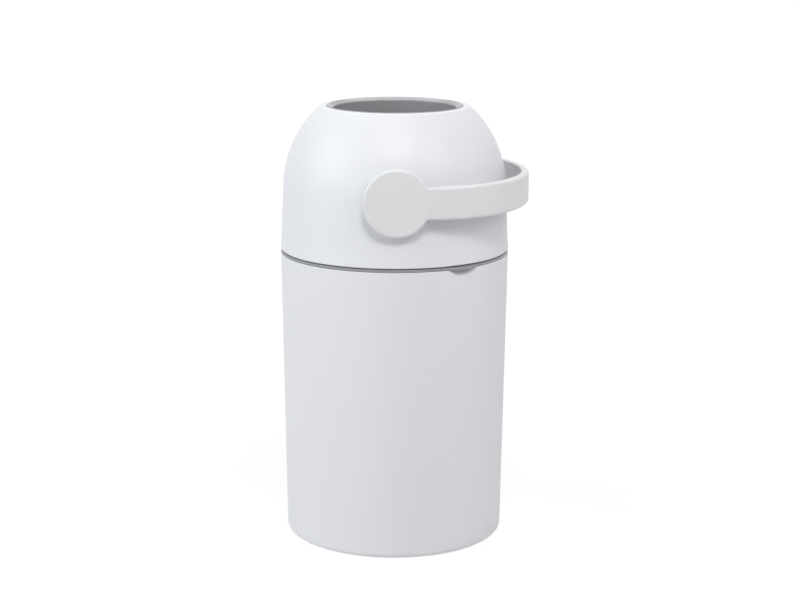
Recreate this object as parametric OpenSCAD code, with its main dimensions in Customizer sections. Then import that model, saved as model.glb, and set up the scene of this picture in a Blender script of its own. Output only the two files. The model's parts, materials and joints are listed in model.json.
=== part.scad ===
// Nappy bin with a turning drum: a tapered bucket, a hinged domed lid, and a ball-shaped drum with a
// sliding piston that its carrying handle turns. Millimetres. +Z is up, the origin is the centre of the
// bucket's base, and the drum turns about an axis parallel to Y. At rest the handle lies towards +X.

/* [Bucket] */
// Radius of the bucket's outer edge at the rim
rim_r = 139.8; // [130:0.1:150]
// How much the side's radius grows from the bottom rounding up to the rim
bucket_taper = 5.6; // [3:0.1:15]
// Height of the bucket's rim
rim_z = 353.3; // [250:0.1:450]
// Radius of the rounding round the bottom
foot_round = 7.4; // [3:0.1:12]
// Thickness of the bucket's side wall
bucket_wall = 2.8; // [2:0.1:3.5]
// Thickness of the bucket's floor
floor_t = 3; // [2:0.1:5]
// Height of the hollow under the floor
foot_recess = 3.5; // [1.5:0.1:6]
// Radius of the flat pad in the middle of the base
pad_r = 30; // [20:1:50]
// Width of the flat foot ring
foot_w = 7.8; // [4:0.1:12]
// Stiffening ribs under the floor
foot_ribs = 12; // [6:1:24]

/* [Rim and bag ring] */
// Thickness of the lip that stands round the bag ring
lip_t = 1.5; // [1:0.1:2]
// Depth of the shelf for the bag ring below the rim
shelf_d = 2.8; // [2.5:0.1:4]
// Width of that shelf
shelf_w = 3.8; // [3:0.1:4.5]
// Thickness of the bag ring's flange
bag_flange_t = 2.4; // [1.5:0.1:2.5]
// Thickness of the bag ring's skirt
bag_skirt_t = 2; // [1.2:0.1:2.5]
// Height of the bag ring's skirt below the shelf
bag_skirt_h = 28; // [18:1:40]

/* [Finger scoop and tab] */
// Direction of the scoop and tab round the bin, in degrees from +X
front_az = -55.3; // [-60:0.1:-50]
// Half of the width of the scoop
scoop_half_w = 23.5; // [18:0.1:27]
// Height of the scoop below the rim
scoop_h = 10.8; // [7:0.1:12]
// Depth of the scoop at the rim
scoop_d = 6.5; // [4:0.1:7]
// How far the tab stands out past the lid base
tab_out = 3.6; // [2:0.1:4.5]
// How far the tab droops
tab_drop = 1.9; // [0.5:0.1:2.5]

/* [Lid base] */
// How far the lid base's edge stays inside the bucket's rim
lid_inset = 0.4; // [0:0.1:1.5]
// Thickness of the lid base's plate
plate_t = 3.1; // [2.5:0.1:4]
// Gap between the bag ring and the skirt that drops into it
lid_skirt_gap = 1; // [0.6:0.1:3]
// Depth of that skirt below the plate
lid_skirt_h = 12.6; // [6:0.1:16]
// Height above the plate of the upstand that the dome fits over
spigot_h = 8.3; // [5:0.1:10]
// Length of the chute below the plate
chute_drop = 8.6; // [4:0.1:12]
// Ribs on top of the plate
plate_ribs = 12; // [6:6:24]

/* [Dome] */
// How far the dome's lower edge stands out past the bucket's rim
dome_out = 0.2; // [0:0.1:1]
// How far the dome's ball-shaped top stays inside its lower edge
dome_in = 3.6; // [2.5:0.1:5]
// Height of the centre of that ball shape above the dome's lower edge
dome_rise = 72.8; // [66:0.1:80]
// Height of the shadow gap between the dome and the lid base
shadow_gap = 1.5; // [0.5:0.1:3]
// Height over which the dome flares out above its lower edge
flare_h = 13.8; // [6:0.1:20]
// Slope of the dome's lower wall, in degrees
skirt_slope = 2.4; // [1.5:0.1:3]
// Radius of the rounding from the ball shape into the land
top_round = 6; // [4:0.1:8]
// Thickness of the dome's wall
dome_wall = 2.6; // [2:0.1:3.2]
// How much smaller than the drum's ball shape the hole in the dome's top is, in radius
mouth_inset = 14.2; // [12:0.1:17]
// Width of the flat land between that hole and the rounding
land_w = 5.9; // [4:0.1:8]
// Screws that hold the dome to the lid base
dome_screw_n = 6; // [3:1:12]

/* [Opening ring and seals] */
// Width of the sloping collar between the dome's hole and the throat
collar_w = 8.1; // [7:0.1:9]
// Thickness of the walls of the opening ring and of the chute
throat_wall = 2.5; // [1.8:0.1:2.6]
// Drop of the sloping collar from the dome's lip to the throat
collar_drop = 2.5; // [1.5:0.1:4]
// How far the collar's rim stands up past the land round the mouth
collar_proud = 0.7; // [0:0.1:1.5]
// How far the opening ring's hidden flange reaches past the dome's hole
collar_flange_w = 8.2; // [7:0.1:10]
// Screws that hold the opening ring under the dome
collar_screw_n = 4; // [3:1:8]
// Thickness of a seal's lip at its inner edge
seal_lip_t = 2.6; // [1.5:0.1:4]
// Gap between a seal's lip and the drum
seal_gap = 0.35; // [0.3:0.05:0.6]

/* [Drum] */
// Height of the pivot axis above the centre of the dome's ball shape
pivot_rise = 5; // [3:0.1:7]
// Radius of the drum's ball shape
drum_r = 97; // [95.5:0.1:98]
// Thickness of the drum's shells
drum_wall = 2.5; // [2:0.1:3]
// How much smaller than the throat the cup through the drum is, in radius
cup_step = 6.7; // [6:0.1:9]
// Thickness of the cup's liner
liner_t = 2; // [1.5:0.1:2.2]
// Thickness of the rings that stop the piston at the cup's ends
end_ring_t = 3; // [2:0.1:4]
// How far those rings reach in past the liner
end_ring_in = 3; // [2:0.1:5]
// Depth of the drum's side flats below its ball shape
flat_d = 7; // [6:0.1:8]

/* [Piston] */
// Height of the whole piston
piston_h = 36; // [30:1:44]
// Gap between the piston's wiper and the liner
piston_gap = 0.3; // [0.2:0.05:0.5]
// Thickness of the wiper
wiper_t = 4; // [2:0.5:6]
// Thickness of the piston's plates
piston_plate_t = 3; // [2:0.1:4]
// Screws that join the two halves
piston_screw_n = 3; // [3:1:6]
// Radius of the circle of those screws
piston_screw_pcr = 42; // [30:0.5:50]

/* [Handle] */
// Gap between the dome's side and the handle's discs
handle_gap = 3.1; // [2.5:0.1:5]
// Gap for the fingers between the dome and the middle of the handle
finger_gap = 17.9; // [16:0.1:30]
// Sideways distance of the centres of the handle's rounded corners from the middle
corner_y = 19; // [16:0.5:24]
// Height of the handle's band
handle_h = 38.4; // [30:0.1:44]
// Thickness of the band and of the discs
handle_t = 9.5; // [8:0.1:11]
// Rounding of the band's outer edges
edge_out = 3.4; // [1:0.1:4]
// Rounding of its inner edges
edge_in = 1.8; // [0.8:0.1:3]
// Radius of the round discs at the pivots
disc_r = 40.1; // [34:0.1:42]
// Radius of the blend between a disc and the band
neck_r = 8; // [4:0.5:12]

/* [Pivots] */
// Radius of the handle's stub shafts
shaft_r = 12; // [10:0.1:13]
// Radial clearance of a shaft in its bush
run_fit = 0.05; // [0.02:0.01:0.09]
// Wall of the bush
bush_wall = 3; // [2:0.1:3.2]
// Length of the half-round skirt on the dome's boss that stops the drum
stop_len = 16; // [12:0.5:17]
// Width of the bush's flange
bush_flange_w = 4.4; // [3:0.1:6]
// Thickness of the bush's flange
bush_flange_t = 1.6; // [1:0.1:2]
// Length of the bush inside the dome's boss
bush_len = 12.6; // [9:0.1:15]
// Length of the dome's boss
boss_len = 9.6; // [7:0.1:11]
// Room in the hub for the head of the handle's screw
head_room = 11.3; // [6:0.1:14]
// How far that screw holds in the handle's shaft
handle_screw_hold = 16; // [10:0.5:18]
// Thickness of the hub's flange
hub_flange_t = 3; // [2:0.1:5]

/* [Lid hinge] */
// Distance from the rim's outer edge out to the hinge pin
hinge_out = 7.2; // [6.5:0.1:10]
// Height of the hinge pin below the rim
hinge_drop = 3.3; // [2.5:0.1:5]
// Radius of the knuckles
knuckle_r = 5; // [4:0.1:5.2]
// Radius of the hinge pin
pin_r = 2; // [1.5:0.1:2.5]
// Width of the lid's knuckle
lid_knuckle_w = 17.4; // [10:0.1:24]
// Width of each of the bucket's knuckles
ear_w = 10; // [6:0.5:14]
// Angle to which the lid opens before its heel meets the bucket, in degrees
lid_open = 75; // [60:1:80]

/* [Hidden] */
$fn = 96;
// Gap between pieces that part or move beside each other
clear = 0.3;
// Gap round a piece that is pushed into its seat
seat = 0.1;
// Overlap that joins the forms of one solid
bite = 0.4;
// How far two nearly tangent forms of one solid cross each other
secant = 0.03;
// Angle between a stop's face and its lug at rest, in degrees
stop_gap_deg = 1;
// Half of the stop lug's angle, in degrees
lug_half_deg = 6;
screw_r = 2;
screw_hole_r = 2.3;
screw_head_r = 4;
screw_head_t = 2.4;
dome_screw_hold = 11;
piston_screw_hold = 10;

// Heights up the stack at the seam
shelf_z = rim_z - shelf_d;
plate_z = rim_z + clear;
plate_top = plate_z + plate_t;
dome_z = plate_top + shadow_gap;

// Bucket
base_r = rim_r - bucket_taper;
bucket_slope = (rim_r - base_r) / (rim_z - foot_round);
shelf_r = rim_r - lip_t;
band_r = shelf_r - shelf_w;
floor_z = foot_recess + floor_t;
foot_r = base_r - foot_round;

// Scoop: a ball that cuts the rim, from its width, height and depth
scoop_up = (pow(scoop_half_w, 2) - pow(scoop_h, 2)) / (2 * scoop_h);
scoop_away = (pow(scoop_half_w, 2) - pow(scoop_d, 2)) / (2 * scoop_d);
scoop_ball = norm([scoop_up + scoop_h, scoop_away]);
scoop_back = 2.4;

// Bag ring
bag_r = shelf_r - clear;
bag_skirt_r = rim_r - scoop_d - scoop_back - 0.9;
bag_in_r = bag_skirt_r - bag_skirt_t;

// Dome
dome_edge_r = rim_r + dome_out;
dome_r = dome_edge_r - dome_in;
dome_cz = dome_z + dome_rise;
skirt_tan_r = dome_r * cos(skirt_slope);
skirt_tan_z = dome_cz + dome_r * sin(skirt_slope);
flare_r = skirt_tan_r - secant + (skirt_tan_z - dome_z - flare_h) * tan(skirt_slope);
mouth_r = drum_r - mouth_inset;
top_round_r = mouth_r + land_w;
top_z = dome_cz + top_round + sqrt(pow(dome_r - top_round, 2) - pow(top_round_r, 2));
top_round_a = atan2(top_z - top_round - dome_cz, top_round_r);
land_z = top_z - dome_wall;
dome_boss_h = 28;

// Lid base
lid_base_r = rim_r - lid_inset;
lid_skirt_r = bag_in_r - lid_skirt_gap;
lid_skirt_t = 2;
spigot_r = min(dome_edge_r, flare_r) - dome_wall - seat;
dome_screw_pcr = lid_skirt_r - lid_skirt_t - screw_head_r - 4.5;

// Throats and seals, the seats as distances from the pivot axis
pivot_z = dome_cz + pivot_rise;
throat_r = mouth_r - collar_w;
collar_flange_r = mouth_r + collar_flange_w;
seal_seat = sqrt(pow(drum_r + seal_gap, 2) - pow(throat_r, 2)) + seal_lip_t;

// Pivot stack on each side, as distances from the drum's centre
flat_y = drum_r - flat_d;
flat_r = sqrt(pow(drum_r, 2) - pow(flat_y, 2));
handle_y = dome_r + handle_gap + handle_t;
disc_in_y = handle_y - handle_t;
bush_out_y = disc_in_y - clear;
boss_out_y = bush_out_y - bush_flange_t;
boss_in_y = boss_out_y - boss_len;
bush_in_y = boss_out_y - bush_len;
hub_end_y = bush_in_y - 0.4;
hub_flange_y = flat_y + hub_flange_t;
hub_flange_r = flat_r - 2.2;
hub_web_t = 5;
head_seat_y = flat_y + head_room;
hub_web_y = head_seat_y + hub_web_t;
hex_end_y = hub_web_y + clear;
hex_len = hub_end_y - hex_end_y;
hex_r = shaft_r - 1.2;
bush_r = shaft_r + run_fit + bush_wall;
boss_bore_r = bush_r + seat;
bush_flange_r = bush_r + bush_flange_w;
boss_r = bush_flange_r + 1;
hub_r = boss_r - 3;
stop_in_r = hub_r + 0.7;
stop_in_y = boss_in_y - stop_len;
lug_r = boss_r + 0.5;
lug_w = 8;

// Drum
cup_r = throat_r - cup_step;
liner_r = cup_r + liner_t;
shell_bore_r = liner_r + clear;
end_r = shell_bore_r + 1.6;
end_h = sqrt(pow(drum_r, 2) - pow(end_r, 2));
liner_h = end_h - end_ring_t;
hub_screw_x = 14;
hub_screw_z = 20;

// Piston, from its underside at rest on the lower end ring
piston_z = pivot_z - liner_h + clear;
piston_travel = 2 * liner_h - piston_h - 2 * clear;
piston_r = cup_r - 0.8;
piston_skirt_t = 3.5;

// Handle
handle_reach = dome_r + finger_gap + handle_t;
handle_corner_r = handle_y - corner_y;
corner_x = sqrt(pow(handle_reach - handle_corner_r, 2) - pow(corner_y, 2));
corner_a = atan2(corner_y, corner_x);

// Hinge
hinge_r = rim_r + hinge_out;
hinge_z = rim_z - hinge_drop;
hinge_az = front_az + 180;
// Heel on the lid's knuckle: its corner stops at the bucket's wall when the lid is open
heel_reach = hinge_out + 1.1;
heel_half = 1.6;
heel_a = 180 + acos((hinge_out - clear) / norm([heel_reach, heel_half])) + atan2(heel_half, heel_reach) + lid_open;

// Helpers

// Points of an arc about c, from angle a to angle b in n steps
function arc(c, r, a, b, n) = [for (i = [0:n]) let (t = a + (b - a) * i / n) c + r * [cos(t), sin(t)]];

// Revolves a profile of radius and height about the bin's axis
module turned() { rotate_extrude() children(); }

// A ring between two radii and two heights
module ring(r_in, r_out, z_low, z_high) {
    turned() translate([r_in, z_low]) square([r_out - r_in, z_high - z_low]);
}

// Puts a shape at angle a round the bin, its +X pointing outwards
module facing(a) { rotate([0, 0, a]) children(); }

// Repeats a shape n times round the bin, from angle first
module around(n, first = 0) {
    for (i = [0:n - 1]) facing(first + i * 360 / n) children();
}

// Stands a shape drawn along +Z onto the pivot axis: +1 for the left side (+Y), -1 for the right side
module on_pivot(side) {
    translate([0, 0, pivot_z]) mirror([0, side < 0 ? 1 : 0, 0]) rotate([-90, 0, 0]) mirror([0, 1, 0]) children();
}

// Both sides
module both_pivots() { for (side = [-1, 1]) on_pivot(side) children(); }

// A screw along +Z with its head at the bottom
module screw(length, head_r = screw_head_r, head_t = screw_head_t, r = screw_r) {
    slot_w = 1.2;
    slot_d = head_t / 2;
    difference() {
        union() {
            cylinder(r = head_r, h = head_t);
            cylinder(r = r, h = head_t + length);
        }
        for (a = [0, 90]) rotate([0, 0, a])
            translate([-head_r * 0.6, -slot_w / 2, -bite]) cube([head_r * 1.2, slot_w, slot_d + bite]);
    }
}

// Bucket

function bucket_side(z) = base_r + (z - foot_round) * bucket_slope;

module bucket_profile() {
    round_rim = 1.1;
    round_in = 6;
    wall_low = bucket_side(floor_z + round_in) - bucket_wall;
    band_low = shelf_z - 10;
    taper_low = band_low - 9;
    polygon(concat(
        [[0, 0], [pad_r, 0], [pad_r + 2, foot_recess], [foot_r - foot_w, foot_recess], [foot_r - foot_w, 0]],
        arc([foot_r, foot_round], foot_round, -90, 0, 8),
        arc([rim_r - round_rim, rim_z - round_rim], round_rim, 0, 90, 4),
        [[shelf_r, rim_z], [shelf_r, shelf_z], [band_r, shelf_z], [band_r, band_low],
         [bucket_side(taper_low) - bucket_wall, taper_low]],
        arc([wall_low - round_in, floor_z + round_in], round_in, 0, -90, 6),
        [[pad_r - 0.4, floor_z], [pad_r - 2.4, floor_t], [0, floor_t]]
    ));
}

module scoop_ball_at(r) {
    facing(front_az) translate([rim_r + scoop_away, 0, rim_z + scoop_up]) sphere(r);
}

// Lug that carries a hinge knuckle on the bucket, seen along the pin
module ear_profile() {
    root_r = rim_r - 1.3;
    translate([hinge_r, hinge_z]) circle(knuckle_r);
    polygon([[root_r, hinge_z - 15], [root_r, hinge_z + 2], [hinge_r - 2, hinge_z + knuckle_r - 0.5],
             [hinge_r + knuckle_r - 0.7, hinge_z - 2.5]]);
}

// Lays a profile of radius and height across the hinge, centred at y, w wide
module across_hinge(y, w) {
    facing(hinge_az) translate([0, y + w / 2, 0]) rotate([90, 0, 0]) linear_extrude(w) children();
}

module hinge_bore(w) {
    facing(hinge_az) translate([hinge_r, w / 2, hinge_z]) rotate([90, 0, 0]) cylinder(r = pin_r + run_fit, h = w);
}

module bucket() {
    rib_t = 1.6;
    ear_y = lid_knuckle_w / 2 + clear + ear_w / 2;
    color("whitesmoke") difference() {
        union() {
            turned() bucket_profile();
            // Wall behind the scoop
            intersection() {
                scoop_ball_at(scoop_ball + scoop_back);
                cylinder(r = rim_r - 1.3, h = rim_z);
                facing(front_az) translate([rim_r / 2, -rim_r / 2, rim_z - 3 * scoop_h])
                    cube([rim_r, rim_r, 3 * scoop_h]);
            }
            for (side = [-1, 1]) across_hinge(side * ear_y, ear_w) ear_profile();
            around(foot_ribs) translate([pad_r - 1, -rib_t / 2, 1])
                cube([foot_r - foot_w - pad_r + 1.5, rib_t, foot_recess - 1 + bite]);
        }
        scoop_ball_at(scoop_ball);
        hinge_bore(4 * ear_w + lid_knuckle_w);
    }
}

// Ring that holds the bag's edge inside the rim, lifted out to change the bag

module bag_ring() {
    notch_half = scoop_half_w + 5;
    low_z = shelf_z - bag_skirt_h;
    lug_in = 3.5;
    lug_half_w = 16;
    color("gray") difference() {
        union() {
            turned() polygon([
                [bag_in_r, low_z + 1], [bag_in_r + 1, low_z], [bag_skirt_r, low_z],
                [bag_skirt_r, shelf_z], [bag_r, shelf_z], [bag_r, shelf_z + bag_flange_t],
                [bag_in_r + 1.2, shelf_z + bag_flange_t], [bag_in_r, shelf_z + bag_flange_t - 1.2]
            ]);
            // Two inward lugs to lift the ring by
            intersection() {
                ring(bag_in_r - lug_in, bag_in_r + bite, low_z + 1, low_z + 3.4);
                facing(front_az + 90) translate([-rim_r, -lug_half_w, low_z])
                    cube([2 * rim_r, 2 * lug_half_w, bag_skirt_h]);
            }
        }
        // Room for the wall behind the scoop
        intersection() {
            ring(bag_skirt_r, bag_r + 1, shelf_z - 1, rim_z);
            facing(front_az) translate([0, -notch_half, shelf_z - 1]) cube([rim_r, 2 * notch_half, shelf_d + 1]);
        }
    }
}

module hinge_pin() {
    length = lid_knuckle_w + 2 * clear + 2 * ear_w;
    head_t = 1.2;
    color("silver") facing(hinge_az) translate([hinge_r, 0, hinge_z]) rotate([90, 0, 0]) union() {
        cylinder(r = pin_r, h = length + 1, center = true);
        for (side = [-1, 1]) translate([0, 0, side * (length + head_t) / 2 + side * 0.2])
            cylinder(r = pin_r + 0.9, h = head_t, center = true);
    }
}

// Lid base: the grey frame that closes the bucket, with the finger tab and the chute

module lid_base_profile() {
    round_out = 0.7;
    chute_low = plate_z - chute_drop;
    chute_out = throat_r + throat_wall;
    spigot_t = 2.2;
    polygon(concat(
        [[throat_r, chute_low + 1], [throat_r + 1, chute_low], [chute_out, chute_low], [chute_out, plate_z],
         [lid_skirt_r - lid_skirt_t, plate_z], [lid_skirt_r - lid_skirt_t, plate_z - lid_skirt_h],
         [lid_skirt_r - 0.7, plate_z - lid_skirt_h], [lid_skirt_r, plate_z - lid_skirt_h + 2],
         [lid_skirt_r, plate_z]],
        arc([lid_base_r - round_out, plate_z + round_out], round_out, -90, 0, 3),
        arc([lid_base_r - round_out, plate_top - round_out], round_out, 0, 90, 3),
        [[spigot_r, plate_top], [spigot_r, plate_top + spigot_h - 1], [spigot_r - 1, plate_top + spigot_h],
         [spigot_r - spigot_t, plate_top + spigot_h], [spigot_r - spigot_t, plate_top],
         [chute_out, plate_top], [chute_out, pivot_z - seal_seat], [throat_r, pivot_z - seal_seat]]
    ));
}

// The tab: a lip turned about its own centre, so that it swells out of the ring's edge
module tab() {
    edge_sag = lid_base_r - sqrt(pow(lid_base_r, 2) - pow(scoop_half_w, 2));
    sag = tab_out + edge_sag;
    r = (pow(scoop_half_w, 2) + pow(sag, 2)) / (2 * sag);
    lip_w = 9;
    crown_r = 12;
    low = plate_z - tab_drop + 0.8;
    half_w = scoop_half_w + 1;
    difference() {
        facing(front_az) intersection() {
            translate([lid_base_r + tab_out - r, 0, 0]) rotate_extrude() polygon(concat(
                [[r - lip_w, plate_z], [r - lip_w, plate_top]],
                arc([r - lip_w, plate_top - crown_r], crown_r, 90, 55, 5),
                [[r - 0.3, plate_top - tab_drop - 0.6], [r, plate_top - tab_drop - 1.3], [r - 0.3, low],
                 [r - 1.2, low - 0.3], [r - 4.4, plate_z]]
            ));
            translate([lid_base_r - 5, -half_w, low - 2]) cube([12, 2 * half_w, 9]);
        }
        // Below the plate it keeps inside the scoop, clear of the bucket's rim
        difference() {
            facing(front_az) translate([lid_base_r - 6, -half_w - 1, low - 3])
                cube([14, 2 * half_w + 2, plate_z - low + 3]);
            scoop_ball_at(scoop_ball - clear);
        }
    }
}

// Lid's hinge arm and knuckle, with the heel that stops it when it is open
module lid_knuckle_profile() {
    root_r = lid_base_r - 3;
    translate([hinge_r, hinge_z]) {
        circle(knuckle_r);
        rotate(heel_a) translate([0, -heel_half]) square([heel_reach, 2 * heel_half]);
    }
    polygon([[root_r, plate_z], [root_r, plate_top], [lid_base_r + 1.5, plate_top],
             [hinge_r + 1.6, hinge_z + knuckle_r - 0.3], [hinge_r, hinge_z], [hinge_r - knuckle_r + 0.6, hinge_z + 2],
             [lid_base_r + 1.2, plate_z]]);
}

module lid_base() {
    rib_t = 2;
    rib_h = 5.5;
    rib_in = throat_r + throat_wall - bite;
    color("darkgray") difference() {
        union() {
            turned() lid_base_profile();
            around(plate_ribs, hinge_az) translate([rib_in, -rib_t / 2, plate_top - bite])
                cube([spigot_r - 2 - rib_in, rib_t, rib_h + bite]);
            tab();
            across_hinge(0, lid_knuckle_w) lid_knuckle_profile();
        }
        around(dome_screw_n, hinge_az + 180 / dome_screw_n / 2) translate([dome_screw_pcr, 0, plate_z - 1])
            cylinder(r = screw_hole_r, h = plate_t + 2);
        hinge_bore(lid_knuckle_w + 2);
    }
}

// Rubber seal whose lip follows the drum's ball shape, as distances from the pivot axis
module seal_profile() {
    out = throat_r + throat_wall + seat;
    lip_r = out + 2.2;
    far = seal_seat + 3.5;
    ball = drum_r + seal_gap;
    polygon([
        [throat_r, seal_seat], [out, seal_seat], [out, far], [lip_r, far],
        [lip_r, sqrt(pow(ball, 2) - pow(lip_r, 2))], [throat_r, sqrt(pow(ball, 2) - pow(throat_r, 2))]
    ]);
}

module upper_seal() {
    color("dimgray") translate([0, 0, pivot_z]) turned() seal_profile();
}

module lower_seal() {
    color("dimgray") translate([0, 0, pivot_z]) mirror([0, 0, 1]) turned() seal_profile();
}

// Dome: the white cover, a ball shape above a flared skirt

module dome_outline() {
    edge = 0.8;
    // Point beyond the rounding's start, just outside the ball shape
    start = top_round + secant;
    along = 3 * top_round;
    out_x = top_round_r + start * cos(top_round_a) + along * sin(top_round_a);
    out_z = top_z - top_round + start * sin(top_round_a) - along * cos(top_round_a);
    // Ball shape, rounded into the land at the top
    intersection() {
        translate([0, dome_cz]) circle(dome_r, $fn = 360);
        polygon(concat(
            [[0, skirt_tan_z - 6], [dome_r + 9, skirt_tan_z - 6], [dome_r + 9, out_z], [out_x, out_z]],
            arc([top_round_r + secant * cos(top_round_a), top_z - top_round], top_round, top_round_a, 90, 8),
            [[0, top_z]]
        ));
    }
    // Skirt
    polygon([[0, dome_z], [dome_edge_r - edge, dome_z], [dome_edge_r, dome_z + edge],
             [flare_r, dome_z + flare_h], [skirt_tan_r - secant, skirt_tan_z], [0, skirt_tan_z]]);
}

module dome_hollow() {
    intersection() {
        translate([0, dome_cz]) circle(dome_r - dome_wall, $fn = 360);
        translate([0, skirt_tan_z - 6]) square([dome_r, land_z - skirt_tan_z + 6]);
    }
    polygon([[0, dome_z - 1], [dome_edge_r - dome_wall, dome_z - 1], [dome_edge_r - dome_wall, dome_z],
             [flare_r - dome_wall, dome_z + flare_h], [skirt_tan_r - dome_wall - secant, skirt_tan_z],
             [0, skirt_tan_z]]);
}

module dome_profile() {
    lip = 1.2;
    difference() {
        dome_outline();
        dome_hollow();
        // Mouth, with a rounded edge
        polygon(concat(
            [[0, land_z - 1], [mouth_r, land_z - 1]],
            arc([mouth_r + lip, top_z - lip], lip, 180, 90, 4),
            [[mouth_r + lip, top_z + 1], [0, top_z + 1]]
        ));
    }
}

// Boss for a bush in the dome's wall, with the half-round skirt that stops the drum, along +Z
module pivot_boss() {
    translate([0, 0, boss_in_y]) cylinder(r = boss_r, h = boss_len);
    stop_from = -lug_half_deg - stop_gap_deg;
    translate([0, 0, stop_in_y]) rotate([0, 0, 180 - stop_from]) rotate_extrude(angle = 180 + 2 * stop_from)
        translate([stop_in_r, 0]) square([boss_r - clear - stop_in_r, boss_in_y - stop_in_y + bite]);
}

module dome() {
    screw_boss_r = 5;
    rib_t = 2.4;
    boss_top = plate_top + dome_boss_h;
    rib_low = plate_top + spigot_h + 1;
    collar_boss_z = land_z - 3.5;
    color("white") difference() {
        union() {
            turned() dome_profile();
            both_pivots() pivot_boss();
            around(dome_screw_n, hinge_az + 180 / dome_screw_n / 2) {
                translate([dome_screw_pcr, 0, plate_top]) cylinder(r = screw_boss_r, h = dome_boss_h);
                translate([dome_screw_pcr, -rib_t / 2, rib_low])
                    cube([flare_r - dome_wall / 2 - dome_screw_pcr, rib_t, boss_top - rib_low]);
            }
            around(collar_screw_n, 45) translate([collar_flange_r - 4, 0, collar_boss_z])
                cylinder(r = 3.4, h = land_z - collar_boss_z + bite);
        }
        both_pivots() translate([0, 0, boss_in_y - bite]) cylinder(r = boss_bore_r, h = boss_len + boss_r);
        around(dome_screw_n, hinge_az + 180 / dome_screw_n / 2) translate([dome_screw_pcr, 0, plate_top - 1])
            cylinder(r = screw_r, h = dome_screw_hold + 3);
        around(collar_screw_n, 45) translate([collar_flange_r - 4, 0, collar_boss_z - 1])
            cylinder(r = screw_r * 0.7, h = 5.5);
    }
}

module dome_screws() {
    color("silver") around(dome_screw_n, hinge_az + 180 / dome_screw_n / 2)
        translate([dome_screw_pcr, 0, plate_z - screw_head_t]) screw(plate_t + dome_screw_hold);
}

// Opening ring: the glossy collar in the mouth

module opening_ring() {
    flange_t = 3;
    flange_top = land_z - 3.5;
    flange_z = flange_top - flange_t;
    out = mouth_r - 0.4;
    top = top_z + collar_proud;
    round_rim = 0.9;
    wall_out = throat_r + throat_wall;
    rim_t = 2.2;
    low = pivot_z + seal_seat;
    color("gray") difference() {
        turned() polygon(concat(
            [[throat_r, low], [wall_out, low], [wall_out, top - collar_drop - rim_t],
             [out - rim_t, top - 1 - rim_t], [out - rim_t, flange_z], [collar_flange_r, flange_z],
             [collar_flange_r, flange_top], [out, flange_top]],
            arc([out - round_rim, top - round_rim], round_rim, 0, 90, 4),
            arc([throat_r + 2, top - collar_drop - 2], 2, 100, 180, 5)
        ));
        around(collar_screw_n, 45) translate([collar_flange_r - 4, 0, flange_z - 1])
            cylinder(r = screw_r * 0.85, h = flange_t + 2);
    }
}

module collar_screws() {
    head_t = 1.6;
    color("silver") around(collar_screw_n, 45)
        translate([collar_flange_r - 4, 0, land_z - 6.5 - head_t]) screw(6.6, 2.8, head_t, screw_r * 0.7);
}

// Bush: flanged, pushed into the dome's boss, with a lip that snaps behind it

module bush() {
    bore = shaft_r + run_fit;
    lip = 0.9;
    rotate_extrude() polygon([
        [bore, bush_in_y], [bush_r, bush_in_y], [bush_r + lip, bush_in_y + 1.6], [bush_r + lip, boss_in_y - clear],
        [bush_r, boss_in_y - clear], [bush_r, boss_out_y], [bush_flange_r, boss_out_y],
        [bush_flange_r, bush_out_y], [bore, bush_out_y]
    ]);
}

module right_bush() { color("dimgray") on_pivot(-1) bush(); }
module left_bush() { color("dimgray") on_pivot(1) bush(); }

// Drum: two shells of a ball, clamped together by the hubs, with a cup straight through

// Keeps what lies between the drum's side flats, less a margin
module between_flats(margin) {
    translate([-drum_r, -flat_y + margin, -drum_r]) cube([2 * drum_r, 2 * (flat_y - margin), 2 * drum_r]);
}

module drum_shell(side) {
    collar_h = 12;
    boss_r = 4;
    boss_d = 9;
    access_r = 8;
    translate([0, 0, pivot_z]) mirror([0, 0, side < 0 ? 1 : 0]) difference() {
        union() {
            difference() {
                intersection() {
                    sphere(drum_r);
                    between_flats(0);
                    cylinder(r = drum_r, h = end_h);
                }
                intersection() {
                    sphere(drum_r - drum_wall);
                    between_flats(drum_wall);
                }
            }
            ring(shell_bore_r, shell_bore_r + 2, end_h - collar_h, end_h - bite);
            for (x = [-1, 1]) for (y = [-1, 1])
                translate([x * hub_screw_x, y * (flat_y - drum_wall + bite), hub_screw_z]) rotate([y * 90, 0, 0])
                    cylinder(r = boss_r, h = boss_d);
        }
        translate([0, 0, -1]) cylinder(r = shell_bore_r, h = end_h + 2);
        for (x = [-1, 1]) for (y = [-1, 1])
            translate([x * hub_screw_x, y * (flat_y + 1), hub_screw_z]) rotate([y * 90, 0, 0])
                cylinder(r = screw_r, h = boss_d + 1);
        rotate([90, 0, 0]) cylinder(r = access_r, h = 2 * drum_r, center = true);
    }
}

// Lip inside the lower shell that the upper shell fits over
module register_lip() {
    lip_h = 3;
    lip_t = 2;
    r = drum_r - drum_wall - 0.25;
    access_w = 20;
    translate([0, 0, pivot_z]) difference() {
        intersection() {
            turned() polygon([[r - lip_t, -lip_h], [r + 0.6, -lip_h], [r + 0.6, 0], [r, 0], [r, lip_h], [r - lip_t, lip_h]]);
            between_flats(drum_wall + 0.25);
        }
        translate([-access_w, -drum_r, -drum_r]) cube([2 * access_w, 2 * drum_r, 2 * drum_r]);
    }
}

module drum_upper_shell() { color("lightgray") drum_shell(1); }
module drum_lower_shell() { color("lightgray") union() { drum_shell(-1); register_lip(); } }

module cup_liner() {
    color("lightgray") translate([0, 0, pivot_z]) ring(cup_r, liner_r, -liner_h, liner_h);
}

// Ring that closes an end of the cup round its edge and stops the piston
module end_ring() {
    bevel = 1.2;
    turned() polygon([
        [cup_r - end_ring_in, liner_h], [liner_r, liner_h], [liner_r, end_h],
        [cup_r - end_ring_in + bevel, end_h], [cup_r - end_ring_in, end_h - bevel]
    ]);
}

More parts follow.
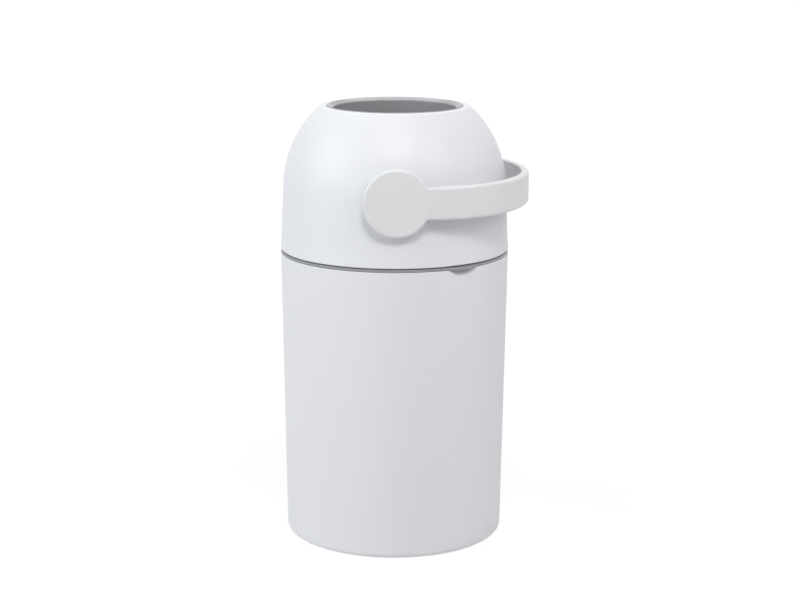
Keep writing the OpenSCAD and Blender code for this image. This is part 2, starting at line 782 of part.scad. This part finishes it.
module cup_upper_ring() { color("gray") translate([0, 0, pivot_z]) end_ring(); }
module cup_lower_ring() { color("gray") translate([0, 0, pivot_z]) mirror([0, 0, 1]) end_ring(); }

// Hub: flange on the drum's flat, socket for the handle's hexagon, and the lug that meets the stops
module hub() {
    head_room_r = 6.5;
    difference() {
        union() {
            translate([0, 0, flat_y]) cylinder(r = hub_flange_r, h = hub_flange_t);
            translate([0, 0, flat_y]) cylinder(r = hub_r, h = hub_end_y - flat_y);
            for (a = [0:60:300]) rotate([0, 0, a + 30]) translate([hub_r - 1, -1.2, hub_flange_y - bite])
                cube([hub_flange_r - hub_r - 3, 2.4, 6 + bite]);
            rotate([0, 0, -lug_half_deg]) translate([0, 0, stop_in_y + 1]) rotate_extrude(angle = 2 * lug_half_deg)
                translate([hub_r - 1, 0]) square([lug_r - hub_r + 1, lug_w]);
        }
        translate([0, 0, hub_web_y]) cylinder(r = hex_r + seat, h = hub_end_y, $fn = 6);
        translate([0, 0, flat_y - 1]) cylinder(r = head_room_r, h = head_seat_y - flat_y + 1);
        cylinder(r = screw_hole_r + 0.4, h = hub_end_y);
        for (x = [-1, 1]) for (y = [-1, 1]) translate([x * hub_screw_x, y * hub_screw_z, flat_y - 1])
            cylinder(r = screw_hole_r, h = hub_flange_t + 2);
    }
}

module right_hub() { color("gray") on_pivot(-1) hub(); }
module left_hub() { color("gray") on_pivot(1) hub(); }

module hub_screws() {
    color("silver") both_pivots() for (x = [-1, 1]) for (y = [-1, 1])
        translate([x * hub_screw_x, y * hub_screw_z, hub_flange_y + screw_head_t]) mirror([0, 0, 1])
            screw(hub_flange_t + 7, 3.6);
}

// Handle: a U band with rounded edges between two discs, all one moulding

// Cross-section of the band: x is the distance out, from the inner face at -t to the outer face at 0
module band_section(less = 0) {
    half_h = handle_h / 2 - less;
    far = edge_out + less;
    near = handle_t - edge_in - less;
    polygon(concat(
        arc([-far, half_h - edge_out], edge_out, 0, 90, 5),
        arc([-near, half_h - edge_in], edge_in, 90, 180, 4),
        arc([-near, -half_h + edge_in], edge_in, 180, 270, 4),
        arc([-far, -half_h + edge_out], edge_out, 270, 360, 5)
    ));
}

// Straight arm and corner arc of the U, seen from above. The corner's ends are buried in its neighbours
module arm_and_corner(side) {
    over = 0.5;
    mirror([0, side < 0 ? 1 : 0, 0]) {
        translate([0, handle_y, 0]) rotate([90, 0, 90]) linear_extrude(corner_x) band_section();
        translate([corner_x, corner_y, 0]) rotate([0, 0, corner_a - over])
            rotate_extrude(angle = 90 - corner_a + 2 * over)
            translate([handle_corner_r, 0]) band_section(secant);
    }
}

// Blend between a disc's rim and the band's edge, along +Z at the pivot
module neck(side) {
    // Cut a little deeper than a true tangent, so that it crosses the disc and the band cleanly
    r = neck_r + 0.05;
    depth = 7;
    mirror([0, side < 0 ? 1 : 0, 0]) {
        cy = handle_h / 2 + neck_r;
        cx = sqrt(pow(disc_r + neck_r, 2) - pow(cy, 2));
        a = atan2(cy, cx);
        translate([cx, cy, 0]) rotate([0, 0, 180 + a]) rotate_extrude(angle = 90 - a)
            polygon(concat(
                arc([r + edge_out, handle_y - edge_out], edge_out, 90, 180, 5),
                arc([r + edge_in, disc_in_y + edge_in], edge_in, 180, 270, 4),
                [[r + depth, disc_in_y], [r + depth, handle_y]]
            ));
    }
}

// Disc, stub shaft and hexagon, along +Z at the pivot
module pivot_disc() {
    rotate_extrude() polygon(concat(
        [[0, disc_in_y]],
        arc([disc_r - edge_in, disc_in_y + edge_in], edge_in, -90, 0, 4),
        arc([disc_r - edge_out, handle_y - edge_out], edge_out, 0, 90, 5),
        [[0, handle_y]]
    ));
    translate([0, 0, hub_end_y]) cylinder(r = shaft_r, h = disc_in_y - hub_end_y + bite);
    translate([0, 0, hex_end_y]) cylinder(r = hex_r, h = hex_len + bite, $fn = 6);
}

module handle() {
    color("gainsboro") difference() {
        union() {
            translate([0, 0, pivot_z]) {
                for (side = [-1, 1]) arm_and_corner(side);
                rotate([0, 0, -corner_a]) rotate_extrude(angle = 2 * corner_a)
                    translate([handle_reach, 0]) band_section();
            }
            both_pivots() {
                pivot_disc();
                for (side = [-1, 1]) neck(side);
            }
        }
        both_pivots() translate([0, 0, hex_end_y - 1]) cylinder(r = 2.55, h = handle_screw_hold + 3);
    }
}

module handle_screws() {
    head_t = 3;
    color("silver") both_pivots() translate([0, 0, head_seat_y - head_t]) screw(hub_web_t + handle_screw_hold, 5.2, head_t, 2.5);
}

// Piston: two flanged halves with a rubber wiper between them

// Half of the piston from its outer face at 0 up to the wiper
module piston_half() {
    half = piston_h / 2;
    skirt_h = (piston_h - wiper_t) / 2;
    dish_r = 320;
    dish_d = 1.6;
    difference() {
        union() {
            difference() {
                cylinder(r = piston_r, h = skirt_h);
                translate([0, 0, piston_plate_t]) cylinder(r = piston_r - piston_skirt_t, h = half);
            }
            cylinder(r = 12, h = half);
            around(piston_screw_n) translate([piston_screw_pcr, 0, 0]) cylinder(r = 5, h = half);
            around(6) translate([11, -0.9, piston_plate_t - bite])
                cube([piston_r - piston_skirt_t - 10.6, 1.8, 6]);
        }
        translate([0, 0, dish_d - dish_r]) sphere(dish_r, $fn = 200);
        translate([0, 0, piston_plate_t]) cylinder(r = 9, h = half);
    }
}

module piston_lower() {
    color("silver") translate([0, 0, piston_z]) difference() {
        piston_half();
        around(piston_screw_n) translate([piston_screw_pcr, 0, 0]) {
            translate([0, 0, -1]) cylinder(r = screw_head_r + 0.3, h = screw_head_t + 2);
            cylinder(r = screw_hole_r, h = piston_h);
        }
    }
}

module piston_upper() {
    color("silver") translate([0, 0, piston_z + piston_h]) mirror([0, 0, 1]) difference() {
        piston_half();
        around(piston_screw_n) translate([piston_screw_pcr, 0, piston_h / 2 - piston_screw_hold])
            cylinder(r = screw_r, h = 2 * piston_screw_hold);
    }
}

module piston_wiper() {
    color("dimgray") translate([0, 0, piston_z + piston_h / 2]) turned() polygon([
        [piston_r - piston_skirt_t, -wiper_t / 2], [piston_r, -wiper_t / 2], [cup_r - piston_gap, -wiper_t / 5],
        [cup_r - piston_gap, wiper_t / 5], [piston_r, wiper_t / 2], [piston_r - piston_skirt_t, wiper_t / 2]
    ]);
}

module piston_screws() {
    length = piston_h / 2 + piston_screw_hold - screw_head_t - 1.6;
    color("silver") around(piston_screw_n) translate([piston_screw_pcr, 0, piston_z + 1]) screw(length);
}

bucket();
bag_ring();
hinge_pin();
lid_base();
lower_seal();
dome();
opening_ring();
upper_seal();
right_bush();
left_bush();
dome_screws();
collar_screws();
drum_upper_shell();
drum_lower_shell();
cup_liner();
cup_upper_ring();
cup_lower_ring();
right_hub();
left_hub();
hub_screws();
handle();
handle_screws();
piston_upper();
piston_lower();
piston_wiper();
piston_screws();
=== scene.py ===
import json
import math

import bpy
from mathutils import Matrix, Vector


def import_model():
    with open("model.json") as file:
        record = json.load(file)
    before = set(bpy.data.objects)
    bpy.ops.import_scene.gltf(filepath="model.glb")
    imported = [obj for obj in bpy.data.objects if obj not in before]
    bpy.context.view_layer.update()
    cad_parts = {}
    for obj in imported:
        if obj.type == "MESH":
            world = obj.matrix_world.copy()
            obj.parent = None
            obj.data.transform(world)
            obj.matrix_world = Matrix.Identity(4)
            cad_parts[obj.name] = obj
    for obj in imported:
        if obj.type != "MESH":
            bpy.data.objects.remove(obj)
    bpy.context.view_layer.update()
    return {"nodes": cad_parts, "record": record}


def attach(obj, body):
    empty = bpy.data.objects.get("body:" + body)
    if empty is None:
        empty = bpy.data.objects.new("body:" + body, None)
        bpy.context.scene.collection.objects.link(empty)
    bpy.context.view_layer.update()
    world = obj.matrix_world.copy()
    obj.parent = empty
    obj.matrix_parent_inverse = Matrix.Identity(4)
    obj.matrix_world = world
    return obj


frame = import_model()
nodes = frame["nodes"]

scene = bpy.context.scene
scene.view_settings.view_transform = "Standard"


# Materials. Noise scales are per metre, bump distances are metres

NOISE_RANGE = (0.3, 0.7)  # where most of a noise's values lie
PLASTIC_IOR = 1.47
GLOSS_SPREAD = 0.035      # how far a moulding's roughness goes up and down


def tree_of(name):
    """A new material, its nodes, its shader and the coordinates that its noises read."""
    mat = bpy.data.materials.new(name)
    mat.use_nodes = True
    nt = mat.node_tree
    return mat, nt, nt.nodes["Principled BSDF"], nt.nodes.new("ShaderNodeTexCoord").outputs["Object"]


def noise(nt, coord, scale, detail=2.0, rough=0.5, stretch=None):
    if stretch:
        m = nt.nodes.new("ShaderNodeMapping")
        m.inputs["Scale"].default_value = stretch
        nt.links.new(coord, m.inputs["Vector"])
        coord = m.outputs["Vector"]
    n = nt.nodes.new("ShaderNodeTexNoise")
    n.inputs["Scale"].default_value = scale
    n.inputs["Detail"].default_value = detail
    n.inputs["Roughness"].default_value = rough
    nt.links.new(coord, n.inputs["Vector"])
    return n.outputs["Fac"]


def ranged(nt, value, low, high, src=NOISE_RANGE):
    r = nt.nodes.new("ShaderNodeMapRange")
    r.inputs["From Min"].default_value, r.inputs["From Max"].default_value = src
    r.inputs["To Min"].default_value, r.inputs["To Max"].default_value = low, high
    nt.links.new(value, r.inputs["Value"])
    return r.outputs["Result"]


def tinted(nt, colour, dark, value):
    """Mixes from colour to its dark version by a noise value."""
    mix = nt.nodes.new("ShaderNodeMix")
    mix.data_type = "RGBA"
    mix.inputs["A"].default_value = (*colour, 1)
    mix.inputs["B"].default_value = (*[c * k for c, k in zip(colour, dark)], 1)
    nt.links.new(ranged(nt, value, 0.0, 1.0), mix.inputs["Factor"])
    return mix.outputs["Result"]


def bumped(nt, bsdf, height, strength, distance):
    bump = nt.nodes.new("ShaderNodeBump")
    bump.inputs["Strength"].default_value = strength
    bump.inputs["Distance"].default_value = distance
    nt.links.new(height, bump.inputs["Height"])
    nt.links.new(bump.outputs["Normal"], bsdf.inputs["Normal"])


def moulded(name, colour, rough, grain=0.05, mottle=0.985, spec=0.5):
    """Injection-moulded plastic: fine spark-eroded grain, faint flow mottling, uneven gloss."""
    mat, nt, bsdf, coord = tree_of(name)
    flow = noise(nt, coord, 7, 3, 0.55, stretch=(1, 1, 0.35))
    gloss = noise(nt, coord, 55, 4, 0.6)
    nt.links.new(tinted(nt, colour, (mottle, mottle, mottle + 0.004), flow), bsdf.inputs["Base Color"])
    nt.links.new(ranged(nt, gloss, rough - GLOSS_SPREAD, rough + GLOSS_SPREAD), bsdf.inputs["Roughness"])
    bumped(nt, bsdf, noise(nt, coord, 1500, 3, 0.6), grain, 0.0006)
    bsdf.inputs["IOR"].default_value = PLASTIC_IOR
    bsdf.inputs["Specular IOR Level"].default_value = spec
    return mat


def rubber(name, colour):
    """Soft seal rubber: matt, with fine pits and a bloom."""
    mat, nt, bsdf, coord = tree_of(name)
    bloom = noise(nt, coord, 40, 4, 0.6)
    nt.links.new(tinted(nt, colour, (0.6, 0.6, 0.6), bloom), bsdf.inputs["Base Color"])
    nt.links.new(ranged(nt, noise(nt, coord, 220, 3, 0.6), 0.6, 0.78), bsdf.inputs["Roughness"])
    bumped(nt, bsdf, noise(nt, coord, 900, 2, 0.5), 0.15, 0.0004)
    return mat


def plated(name, colour):
    """Zinc-plated steel: cloudy plating, uneven gloss, faint marks."""
    mat, nt, bsdf, coord = tree_of(name)
    cloud = noise(nt, coord, 350, 4, 0.6)
    nt.links.new(tinted(nt, colour, (0.72, 0.74, 0.78), cloud), bsdf.inputs["Base Color"])
    nt.links.new(ranged(nt, noise(nt, coord, 260, 3, 0.6), 0.24, 0.42), bsdf.inputs["Roughness"])
    bsdf.inputs["Metallic"].default_value = 1.0
    bumped(nt, bsdf, noise(nt, coord, 2500, 2, 0.5), 0.1, 0.0002)
    return mat


def crisp(ob):
    """Smooth shading across the small facets of rounded edges, crisp at real edges."""
    weld = ob.modifiers.new("weld", "WELD")
    weld.merge_threshold = 2e-6
    split = ob.modifiers.new("split", "EDGE_SPLIT")
    split.split_angle = math.radians(31)
    soft = ob.modifiers.new("soft", "WEIGHTED_NORMAL")
    soft.weight = 60


MOULDED = {
    "white_shell": dict(colour=(0.81, 0.82, 0.845), rough=0.42, grain=0.03, spec=0.42),
    "white_bucket": dict(colour=(0.805, 0.81, 0.832), rough=0.44, grain=0.05, spec=0.45),
    "pale_grey_handle": dict(colour=(0.77, 0.775, 0.783), rough=0.36, grain=0.03),
    "grey_frame": dict(colour=(0.31, 0.314, 0.33), rough=0.36, grain=0.05, mottle=0.95),
    "grey_collar": dict(colour=(0.335, 0.335, 0.35), rough=0.23, grain=0.01, mottle=0.97),
    "drum_plastic": dict(colour=(0.21, 0.21, 0.225), rough=0.40, grain=0.06, mottle=0.94),
    "piston_plastic": dict(colour=(0.24, 0.24, 0.255), rough=0.38, grain=0.05, mottle=0.95),
    "bush_plastic": dict(colour=(0.03, 0.03, 0.032), rough=0.3, grain=0.03, mottle=0.85),
}
LOOKS = {slot: moulded(slot, **look) for slot, look in MOULDED.items()}
LOOKS["seal_rubber"] = rubber("seal_rubber", (0.025, 0.025, 0.026))
LOOKS["zinc_steel"] = plated("zinc_steel", (0.66, 0.67, 0.69))

for entry in frame["record"]["subparts"]:
    ob = nodes[entry["node"]]
    ob.data.materials.clear()
    ob.data.materials.append(LOOKS[entry["material_slot"]])
    crisp(ob)


# Finger tab's lip: the top of the tongue by which the lid is lifted. The solid tab's crown slopes away early. This
# one is flatter and reaches 0.8 mm further out, so that the scoop below lies in its shade, as in the photo. It is
# described by sections in the plane through the bin's axis: radius outwards, height upwards, in metres

LIP_TOWARD, LIP_HALF_ANGLE = math.radians(-55.3), math.radians(9.9)
LIP_STATIONS, NOSE_STEPS = 72, 10
LIP_ROOT_R, LIP_RING_R, LIP_REACH = 0.1387, 0.1392, 0.0046  # root inside the ring, start of the reach, reach
LIP_TOP_Z, LIP_SLOPE = 0.3565, 0.14                         # top at the ring, and its fall outwards
LIP_UNDER_Z, LIP_DROP = 0.35372, 0.0006                     # underside above the bucket's rim, and its drop outside
RIM_CLEAR_R = 0.1403                                        # outside this the underside may drop past the rim
NOSE_R = 0.00105


def lip_section(u):
    """The closed section at u, from -1 at the lip's one end to 1 at its other end."""
    out = LIP_REACH * (1 - u * u)
    share = out / LIP_REACH
    low = LIP_UNDER_Z - LIP_DROP * share * share * (3 - 2 * share)
    top = LIP_TOP_Z - LIP_SLOPE * out
    nose = min(NOSE_R, 0.0001 + 0.5 * out)
    r_nose = LIP_RING_R + out - nose
    r_low = min(RIM_CLEAR_R, r_nose)
    section = [(LIP_ROOT_R, LIP_UNDER_Z), (r_low, LIP_UNDER_Z), (min(r_low + 0.0013, r_nose), low)]
    for k in range(NOSE_STEPS + 1):
        t = math.pi * (k / NOSE_STEPS - 0.5)
        section.append((r_nose + nose * math.cos(t), (low + top) / 2 + (top - low) / 2 * math.sin(t)))
    section.append((LIP_ROOT_R, LIP_TOP_Z + LIP_SLOPE * (LIP_RING_R - LIP_ROOT_R)))
    return section


def tab_lip():
    verts, faces = [], []
    for i in range(LIP_STATIONS + 1):
        u = 2 * i / LIP_STATIONS - 1
        a = LIP_TOWARD + LIP_HALF_ANGLE * u
        verts += [(r * math.cos(a), r * math.sin(a), z) for r, z in lip_section(u)]
    n = len(verts) // (LIP_STATIONS + 1)
    for i in range(LIP_STATIONS):
        for k in range(n):
            m = (k + 1) % n
            faces.append((i * n + k, (i + 1) * n + k, (i + 1) * n + m, i * n + m))
    faces.append(tuple(range(n)))
    faces.append(tuple(LIP_STATIONS * n + k for k in reversed(range(n))))
    me = bpy.data.meshes.new("tab_lip")
    me.from_pydata(verts, [], faces)
    me.validate()
    me.shade_smooth()
    ob = bpy.data.objects.new("tab_lip", me)
    scene.collection.objects.link(ob)
    me.materials.append(LOOKS["grey_frame"])
    crisp(ob)
    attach(ob, "lid")


tab_lip()


# Floor and backdrop: one pale sweep that the camera sees as white, with the object's shadow kept

FLOOR_COLOUR = (0.86, 0.86, 0.865, 1)
WHITE_STRENGTH = 1.07
WHITE_SHARE_NEAR, WHITE_FILLS = 0.82, (0.3, 1.0)  # white's share at the bin, and from where to where it fills up
SWEEP_FRONT_Y, SWEEP_BACK_Y, SWEEP_HALF_W, WALL_H = -4.0, 6.0, 7.0, 5.0
BEND_R, BEND_STEPS = 1.5, 16
FLOOR_Z = -0.0002                                 # a hair below the base, so that the two faces don't share a plane


def seen_or_mirrored(nt):
    """1 for what the camera sees straight, in a gloss or through a clear piece, 0 for what lights the object."""
    path = nt.nodes.new("ShaderNodeLightPath")
    total = path.outputs["Is Camera Ray"]
    for kind in ("Is Glossy Ray", "Is Transmission Ray"):
        either = nt.nodes.new("ShaderNodeMath")
        either.operation = "MAXIMUM"
        nt.links.new(total, either.inputs[0])
        nt.links.new(path.outputs[kind], either.inputs[1])
        total = either.outputs[0]
    return total


def sweep_material():
    mat = bpy.data.materials.new("pale_sweep")
    mat.use_nodes = True
    nt = mat.node_tree
    nt.nodes.clear()
    out = nt.nodes.new("ShaderNodeOutputMaterial")
    mix = nt.nodes.new("ShaderNodeMixShader")
    plain = nt.nodes.new("ShaderNodeBsdfDiffuse")
    plain.inputs["Color"].default_value = FLOOR_COLOUR
    white = nt.nodes.new("ShaderNodeEmission")
    white.inputs["Color"].default_value = (1, 1, 1, 1)
    white.inputs["Strength"].default_value = WHITE_STRENGTH
    # White takes over fully away from the object, so that only its own shadow shows
    away = nt.nodes.new("ShaderNodeVectorMath")
    away.operation = "LENGTH"
    nt.links.new(nt.nodes.new("ShaderNodeTexCoord").outputs["Object"], away.inputs[0])
    share = nt.nodes.new("ShaderNodeMath")
    share.operation = "MULTIPLY"
    nt.links.new(seen_or_mirrored(nt), share.inputs[0])
    nt.links.new(ranged(nt, away.outputs["Value"], WHITE_SHARE_NEAR, 1.0, WHITE_FILLS), share.inputs[1])
    nt.links.new(share.outputs[0], mix.inputs["Fac"])
    nt.links.new(plain.outputs[0], mix.inputs[1])
    nt.links.new(white.outputs[0], mix.inputs[2])
    nt.links.new(mix.outputs[0], out.inputs["Surface"])
    return mat


def backdrop():
    profile = [(SWEEP_FRONT_Y, 0.0), (SWEEP_BACK_Y - BEND_R, 0.0)]
    for i in range(1, BEND_STEPS + 1):
        t = math.pi / 2 * i / BEND_STEPS
        profile.append((SWEEP_BACK_Y - BEND_R + BEND_R * math.sin(t), BEND_R - BEND_R * math.cos(t)))
    profile.append((SWEEP_BACK_Y, WALL_H))
    verts = [(x, y, z + FLOOR_Z) for y, z in profile for x in (-SWEEP_HALF_W, SWEEP_HALF_W)]
    faces = [(2 * i, 2 * i + 1, 2 * i + 3, 2 * i + 2) for i in range(len(profile) - 1)]
    me = bpy.data.meshes.new("sweep")
    me.from_pydata(verts, [], faces)
    me.update()
    me.shade_smooth()
    ob = bpy.data.objects.new("sweep", me)
    scene.collection.objects.link(ob)
    me.materials.append(sweep_material())


backdrop()


# World: a little even light, and white to the camera

WORLD_COLOUR, WORLD_LIGHT = (0.98, 0.99, 1.0, 1), 0.04


def world():
    w = bpy.data.worlds.new("studio")
    scene.world = w
    w.use_nodes = True
    nt = w.node_tree
    nt.nodes.clear()
    out = nt.nodes.new("ShaderNodeOutputWorld")
    mix = nt.nodes.new("ShaderNodeMixShader")
    soft = nt.nodes.new("ShaderNodeBackground")
    soft.inputs["Color"].default_value = WORLD_COLOUR
    soft.inputs["Strength"].default_value = WORLD_LIGHT
    white = nt.nodes.new("ShaderNodeBackground")
    white.inputs["Color"].default_value = (1, 1, 1, 1)
    white.inputs["Strength"].default_value = 1.0
    nt.links.new(seen_or_mirrored(nt), mix.inputs["Fac"])
    nt.links.new(soft.outputs[0], mix.inputs[1])
    nt.links.new(white.outputs[0], mix.inputs[2])
    nt.links.new(mix.outputs[0], out.inputs["Surface"])


world()


# Lamps, each a softbox aimed at one point. The rear ones stand high, so that the dome's edges don't mirror them
# towards the camera

PLAIN, COOL, SOFT_WHITE = (0.985, 0.992, 1.0), (0.95, 0.974, 1.0), (1.0, 0.995, 0.985)
AIM = Vector((0.0, 0.0, 0.30))
# Name, azimuth from the camera's side (left is negative), elevation, distance, width, height, watts, tint
LAMPS = [
    ("key_left", -75, 25, 2.2, 1.3, 1.6, 25.5, COOL),
    ("over_front", 4, 48, 2.4, 0.6, 0.5, 20, SOFT_WHITE),
    ("upper_front", 0, 62, 2.4, 1.1, 1.1, 4.5, SOFT_WHITE),
    ("mid_right", 48, 36, 2.4, 0.9, 0.9, 10, PLAIN),
    ("upper_right", 50, 52, 2.4, 1.1, 1.1, 4, PLAIN),
    ("right", 80, 20, 2.2, 1.2, 1.6, 4.5, COOL),
    ("back_top", 180, 58, 2.3, 1.5, 1.2, 13, PLAIN),
    ("back_left", -128, 38, 2.3, 1.2, 1.2, 1.5, PLAIN),
    ("back_right", 128, 38, 2.3, 1.2, 1.2, 2, PLAIN),
]
for name, az, el, dist, width, height, watts, tint in LAMPS:
    a, e = math.radians(az), math.radians(el)
    way = Vector((math.sin(a) * math.cos(e), -math.cos(a) * math.cos(e), math.sin(e)))
    lamp = bpy.data.lights.new(name, "AREA")
    lamp.shape = "RECTANGLE"
    lamp.size, lamp.size_y = width, height
    lamp.energy = watts
    lamp.color = tint
    ob = bpy.data.objects.new(name, lamp)
    ob.location = AIM + way * dist
    ob.rotation_mode = "QUATERNION"
    ob.rotation_quaternion = (-way).to_track_quat("-Z", "Y")
    scene.collection.objects.link(ob)


# Camera at the photograph's place, as fitted to the bin's outline: the bin stands turned 1.26 degrees to it

TURN, PITCH, ROLL = 0.022, 0.2205, 0.0030
CAMERA_PLACE = (-0.0439, -2.3127, 0.80873)
SENSOR_MM, FRAME_PX, FOCAL_PX = 36.0, 800, 1911.12


def camera():
    cam = bpy.data.cameras.new("photo_camera")
    cam.sensor_width = SENSOR_MM
    cam.lens = SENSOR_MM * FOCAL_PX / FRAME_PX
    cam.clip_start, cam.clip_end = 0.05, 30
    ob = bpy.data.objects.new("photo_camera", cam)
    scene.collection.objects.link(ob)
    forward = Vector((math.sin(TURN) * math.cos(PITCH), math.cos(TURN) * math.cos(PITCH), -math.sin(PITCH)))
    right = Vector((math.cos(TURN), -math.sin(TURN), 0.0))
    up = right.cross(forward)
    c, s = math.cos(ROLL), math.sin(ROLL)
    x, y = right * c + up * s, up * c - right * s
    ob.matrix_world = Matrix.Translation(CAMERA_PLACE) @ Matrix((x, y, -forward)).transposed().to_4x4()
    scene.camera = ob


camera()
